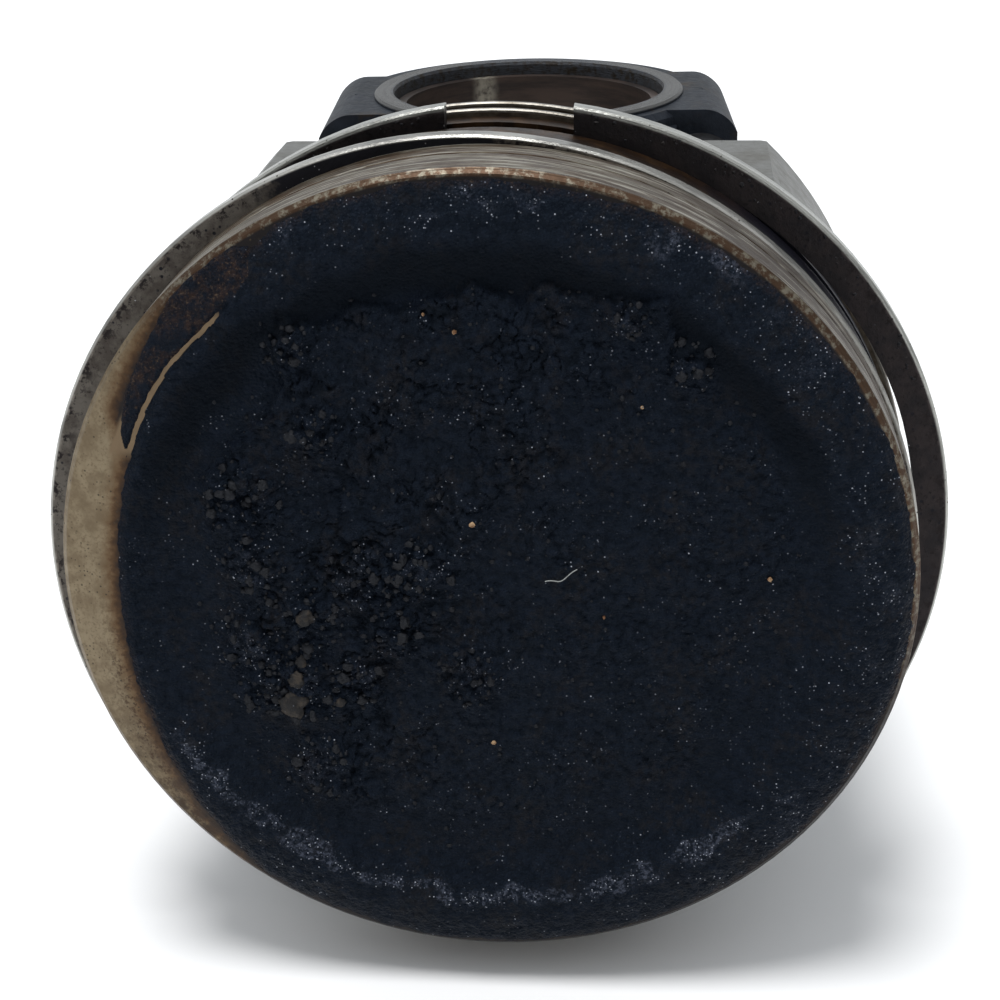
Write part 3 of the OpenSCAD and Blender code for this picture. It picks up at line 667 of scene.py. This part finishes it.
def crust(x, z):
    """The carbon's thickness above the crown in mm (negative: bare), how brown and how wet it is (wetness
    also places painted sheen and glints), and its painted shade.
    """
    r = np.hypot(x, z)
    edge = EDGE_R - np.hypot(x - EDGE_X, z - EDGE_Z)
    edge = np.minimum(edge, 30.45 - 0.25 * ease(z, 5, 20) - r + 0.15 * wander(x, z, 1.6, 21))
    ragged = edge + 0.12 * fractal(x, z, 0.8, 4, 3) + 0.16 * wander(x, z, 3.0, 5)
    cluster = cluster_weight(x, z)
    body, painted_shade, painted_dish_shadow = heap(x, z, r, cluster)
    thickness = body * ease(ragged, -0.05, 0.8) + BARE * ease(ragged, 0.12, -0.12)
    by_leaf = ease(z, 8, 10) * ease(z, 26, 23) * (x < 0)
    brown = ease(ragged, 0.75, 0.05) * (0.25 + 0.6 * ease(np.abs(z + 16), 16, 4) + 0.35 * ease(z, 14, 25))
    thickness, brown, on_leaf = add_leaf(x, z, r, ragged, thickness, brown * (1 - 0.9 * by_leaf))
    wet_and_sheen = wetness_and_sheen(x, z, r, cluster, painted_dish_shadow) * (1 - 0.7 * on_leaf * ease(z, 26, 23))
    return thickness, brown, wet_and_sheen, painted_shade


def disc_grid(steps, radius):
    """A square grid mapped onto a disc, as flat arrays of x and z."""
    side = np.linspace(-1, 1, steps + 1)
    a, b = np.meshgrid(side, side)
    wide = np.abs(a) > np.abs(b)
    safe_a, safe_b = np.where(a == 0, 1, a), np.where(b == 0, 1, b)
    turn = np.where(wide, np.pi / 4 * b / safe_a, np.pi / 2 - np.pi / 4 * a / safe_b)
    reach = np.where(wide, a, b) * radius
    return (reach * np.cos(turn)).ravel(), (reach * np.sin(turn)).ravel()


def make_object(name, mesh, body):
    piece = bpy.data.objects.new(name, mesh)
    bpy.context.collection.objects.link(piece)
    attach(piece, body)
    return piece


def make_crust():
    """A closed sheet of carbon on the crown, open where the aluminium is bare."""
    steps = 460
    under = 0.9                         # depth of its hidden flat underside, in the crown's metal, mm
    covered_from = -0.08                # thinner than this, the crown is bare, mm
    x, z = disc_grid(steps, LAND_R - 0.02)
    r = np.hypot(x, z)
    thickness, brown, wet_and_sheen, painted_shade = crust(x, z)
    depth = np.interp(r, CROWN_R, CROWN_DEPTH) - thickness
    places = np.column_stack((x, depth, z)) * MM + np.array(CROWN)
    bare = thickness < covered_from
    width = steps + 1
    j, i = np.meshgrid(np.arange(steps), np.arange(steps), indexing="ij")
    first = (j * width + i).ravel()
    quads = np.column_stack((first, first + 1, first + width + 1, first + width))
    quads = quads[~bare[quads].all(axis=1)]
    mesh = bpy.data.meshes.new("crown_carbon")
    mesh.from_pydata(places, [], quads.tolist())
    # brown tone, wetness that also places painted sheen and glints, and painted shade, kept on the points
    for name, values in (("brown", brown), ("wet_and_sheen", wet_and_sheen), ("painted_shade", painted_shade)):
        mesh.attributes.new(name, "FLOAT", "POINT").data.foreach_set("value", values.astype(np.float32))
    work = bmesh.new()
    work.from_mesh(mesh)
    bmesh.ops.delete(work, geom=[v for v in work.verts if not v.link_faces], context="VERTS")
    rim = [edge for edge in work.edges if edge.is_boundary]
    made = bmesh.ops.extrude_edge_only(work, edges=rim)["geom"]
    for vertex in (g for g in made if isinstance(g, bmesh.types.BMVert)):
        vertex.co.y = CROWN.y + under * MM
        inward = Vector((vertex.co.x - CROWN.x, 0, vertex.co.z - CROWN.z)) * 0.03
        vertex.co -= inward
    bottom = [g for g in made if isinstance(g, bmesh.types.BMEdge)]
    bmesh.ops.triangle_fill(work, edges=bottom, normal=(0, 1, 0))
    bmesh.ops.recalc_face_normals(work, faces=work.faces)
    work.to_mesh(mesh)
    work.free()
    mesh.shade_smooth()
    make_object("crown_carbon", mesh, "piston")
    mesh.materials.append(carbon_material().mat)


def carbon_material():
    """Burnt-on carbon: blue-black, browner in patches and at its edge, with painted sheen and tiny painted
    glints where wet, and painted shade in crevices and on the dish's upper wall.
    """
    s = Shader("crown_carbon", centre=CROWN, rough=0.5, specular=0.15)
    s.bsdf.inputs["Specular Tint"].default_value = (0.55, 0.76, 1.0, 1)
    brown, wet_and_sheen, painted_shade = s.attribute("brown"), s.attribute("wet_and_sheen"), s.attribute("painted_shade")
    black = s.mix(s.step(s.noise(0.9, 5), 0.35, 0.7), (0.0012, 0.0021, 0.0054), (0.0036, 0.0053, 0.0108))
    purple = s.both(s.step(s.noise(4, 4), 0.46, 0.62), s.step(s.noise(0.6, 4), 0.4, 0.6))
    black = s.mix(purple, black, (0.0068, 0.0058, 0.0070))
    # painted sheen: lighter blue-grey in patches on the wettest carbon
    painted_sheen = s.both(s.step(wet_and_sheen, 0.62, 0.95), s.step(s.noise(0.30, 5, 0.75), 0.45, 0.62))
    black = s.mix(painted_sheen, black, (0.052, 0.058, 0.080))
    rust = s.mix(s.step(s.noise(0.55, 5, 0.7), 0.40, 0.62), (0.007, 0.0045, 0.006), (0.026, 0.013, 0.008))
    rust = s.mix(s.step(s.noise(0.20, 3, 0.7), 0.54, 0.68), rust, (0.080, 0.050, 0.028))
    black = s.mix(s.both(brown, s.step(s.noise(0.6, 5, 0.65), 0.30, 0.56)), black, rust)
    patchy = s.step(s.noise(1.8, 4), 0.36, 0.62)
    # faint painted glints: lighter dots in patches where wet
    faint_painted_glints = s.both(s.dots(0.33, 0.22, 0.34), patchy, s.step(wet_and_sheen, 0.0, 0.4))
    black = s.mix(faint_painted_glints, black, (0.032, 0.037, 0.050))
    # painted glints: bright dots, denser where wetter
    painted_glints = s.both(s.dots(0.46, 0.16, 0.44), s.step(wet_and_sheen, 0.05, 0.40), patchy)
    painted_glints = s.either(painted_glints, s.both(s.dots(0.34, 0.20, 0.36), s.step(wet_and_sheen, 0.30, 0.62)))
    painted_glints = s.either(painted_glints, s.both(s.dots(0.21, 0.28, 0.36), s.step(wet_and_sheen, 0.6, 0.95)))
    painted_glint_colour = s.mix(s.step(s.noise(0.4, 2), 0.35, 0.65), (0.09, 0.10, 0.125), (0.50, 0.52, 0.58))
    colour = s.mix(painted_glints, black, painted_glint_colour)
    # painted shade: near-black in the crevices and on the dish's upper wall
    s.set_colour(s.mix(painted_shade, colour, (0.0012, 0.0014, 0.0024)))
    rough = s.mix_value(s.both(wet_and_sheen, s.step(s.noise(0.5, 4), 0.35, 0.65)), 0.58, 0.30)
    s.set("Roughness", s.mix_value(painted_shade, rough, 0.85))
    fine = s.noise(0.28, 5, 0.7)
    grain = s.math("SUBTRACT", 1.0, s.cells(0.24)[0])
    s.set("Normal", s.bump(s.mix_value(0.5, fine, grain), 0.36))
    return s


# ---- scattered lumps, grit and fibre ----------------------------------------------------------

def crown_point(x, z, lift):
    """The place lift mm above the crown's surface, in metres."""
    depth = float(np.interp(math.hypot(x, z), CROWN_R, CROWN_DEPTH))
    return CROWN + Vector((x, depth - lift, z)) * MM


def add_lump(work, place, radius, rand, flatten=1.0):
    """One knobbly grain, radius in mm."""
    made = bmesh.ops.create_icosphere(work, subdivisions=3 if radius > 0.3 else 2, radius=1.0)
    offset = Vector((rand.uniform(0, 50), rand.uniform(0, 50), rand.uniform(0, 50)))
    stretch = Vector((rand.uniform(0.75, 1.25), flatten * rand.uniform(0.7, 1.0), rand.uniform(0.75, 1.25)))
    for vertex in made["verts"]:
        way = vertex.co.normalized()
        knob = 1 + 0.45 * noise.noise(way * 1.6 + offset) + 0.25 * noise.noise(way * 4.5 + offset)
        vertex.co = place + way * stretch * (knob * radius * MM)


def finish_lumps(name, work, body, shader):
    mesh = bpy.data.meshes.new(name)
    work.to_mesh(mesh)
    work.free()
    mesh.shade_smooth()
    mesh.materials.append(shader.mat)
    return make_object(name, mesh, body)


def lump_material(name, dark, light):
    s = Shader(name, centre=CROWN, rough=0.6, specular=0.25)
    tone = s.mix(s.step(s.noise(0.7, 4), 0.42, 0.68), dark, light)
    # grey-blue dots: painted glints on the dark grains, darker specks on the tan grit
    s.set_colour(s.mix(s.dots(0.34, 0.2, 0.18), tone, (0.10, 0.11, 0.13)))
    s.set("Normal", s.bump(s.noise(0.14, 4, 0.65), 0.07))
    return s


def add_lumps(work, spots, rand, sink, flatten=1.0):
    """Grains at spots of (x, z, radius) in mm, sunk in the crust by a share of their radius."""
    x, z, radius = np.array(spots).T
    thickness = crust(x, z)[0]
    for i in range(len(spots)):
        lift = thickness[i] - radius[i] * sink
        add_lump(work, crown_point(x[i], z[i], lift), radius[i], rand, flatten)


def make_lumps():
    """Popcorn grains heaped in the clusters, and stray ones over the middle of the crown."""
    rand = random.Random(11)
    work = bmesh.new()
    spots = []
    for cx, cz, reach in CLUSTERS:
        for _ in range(int(12 * reach)):
            spread, turn = reach * math.sqrt(rand.random()) * 1.15, rand.uniform(0, 2 * math.pi)
            radius = 0.12 + 0.30 * rand.random() ** 2.5
            spots.append((cx + spread * math.cos(turn), cz + spread * math.sin(turn), radius))
    for _ in range(420):
        spread, turn = 23.5 * math.sqrt(rand.random()), rand.uniform(0, 2 * math.pi)
        spots.append((spread * math.cos(turn), spread * math.sin(turn), 0.06 + 0.12 * rand.random() ** 1.5))
    add_lumps(work, spots, rand, 0.05)
    black = lump_material("carbon_grain", (0.0020, 0.0030, 0.0060), (0.0070, 0.0085, 0.0120))
    finish_lumps("carbon_lumps", work, "piston", black)

    work = bmesh.new()
    add_lumps(work, ((-14.4, -9.4, 0.95), (-13.6, -5.9, 0.42), (-10.9, -9.2, 0.38), (-14.0, -7.2, 0.55),
                     (-13.0, -2.0, 0.75)), rand, -0.2, 0.6)
    brown = lump_material("brown_grain", (0.008, 0.0075, 0.008), (0.036, 0.028, 0.021))
    finish_lumps("brown_lumps", work, "piston", brown)

    work = bmesh.new()
    add_lumps(work, ((-1.5, 19.7, 0.20), (-0.7, 5.4, 0.19), (0.4, -12.5, 0.17), (20.3, 1.4, 0.15),
                     (-3.6, 20.9, 0.12), (11.2, 14.4, 0.12), (8.6, -1.9, 0.14)), rand, -0.4)
    tan = lump_material("tan_grit", (0.14, 0.065, 0.03), (0.42, 0.28, 0.16))
    finish_lumps("crown_grit", work, "piston", tan)


def make_fibre():
    """A pale lint fibre lying on the crown."""
    curve = bpy.data.curves.new("lint_fibre", "CURVE")
    curve.dimensions = "3D"
    curve.bevel_depth = 0.035 * MM
    curve.bevel_resolution = 2
    spline = curve.splines.new("NURBS")
    route = ((4.4, 1.0), (4.9, 1.15), (5.4, 0.85), (5.9, 1.25), (6.3, 1.75), (6.7, 2.0))
    spline.points.add(len(route) - 1)
    for point, (x, z) in zip(spline.points, route):
        point.co = (*crown_point(x, z, crust(x, z)[0] + 0.12), 1)
    spline.use_endpoint_u = True
    s = Shader("lint", rough=0.8, specular=0.2)
    s.set_colour(s.mix(s.noise(0.3), (0.42, 0.43, 0.42), (0.20, 0.21, 0.20)))
    curve.materials.append(s.mat)
    piece = bpy.data.objects.new("lint_fibre", curve)
    bpy.context.collection.objects.link(piece)
    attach(piece, "piston")


def make_ring_soot():
    """Grains of soot on the second ring's front side, either side of its gap."""
    rand = random.Random(6)
    centre, radius = ring_size(ring2_low, ring2_high)
    outer, inner = radius - 0.25, 31.6
    work = bmesh.new()
    for start, end in ((100, 160), (20, 80)):               # degrees from +X
        for _ in range(70):
            turn = math.radians(rand.uniform(start, end))
            out = (outer - (outer - inner) * rand.random() ** 1.6) * MM
            size = 0.05 + 0.10 * rand.random() ** 2
            place = Vector((centre.x + out * math.cos(turn), ring2_low.y, centre.z + out * math.sin(turn)))
            add_lump(work, place, size, rand, 0.7)
    black = lump_material("second_ring_soot", (0.006, 0.006, 0.008), (0.016, 0.013, 0.012))
    finish_lumps("second_ring_soot", work, "second_ring", black)


# ---- build ------------------------------------------------------------------------------------

make_camera()
make_studio()
paint_frame()
make_crust()
make_lumps()
make_fibre()
make_ring_soot()
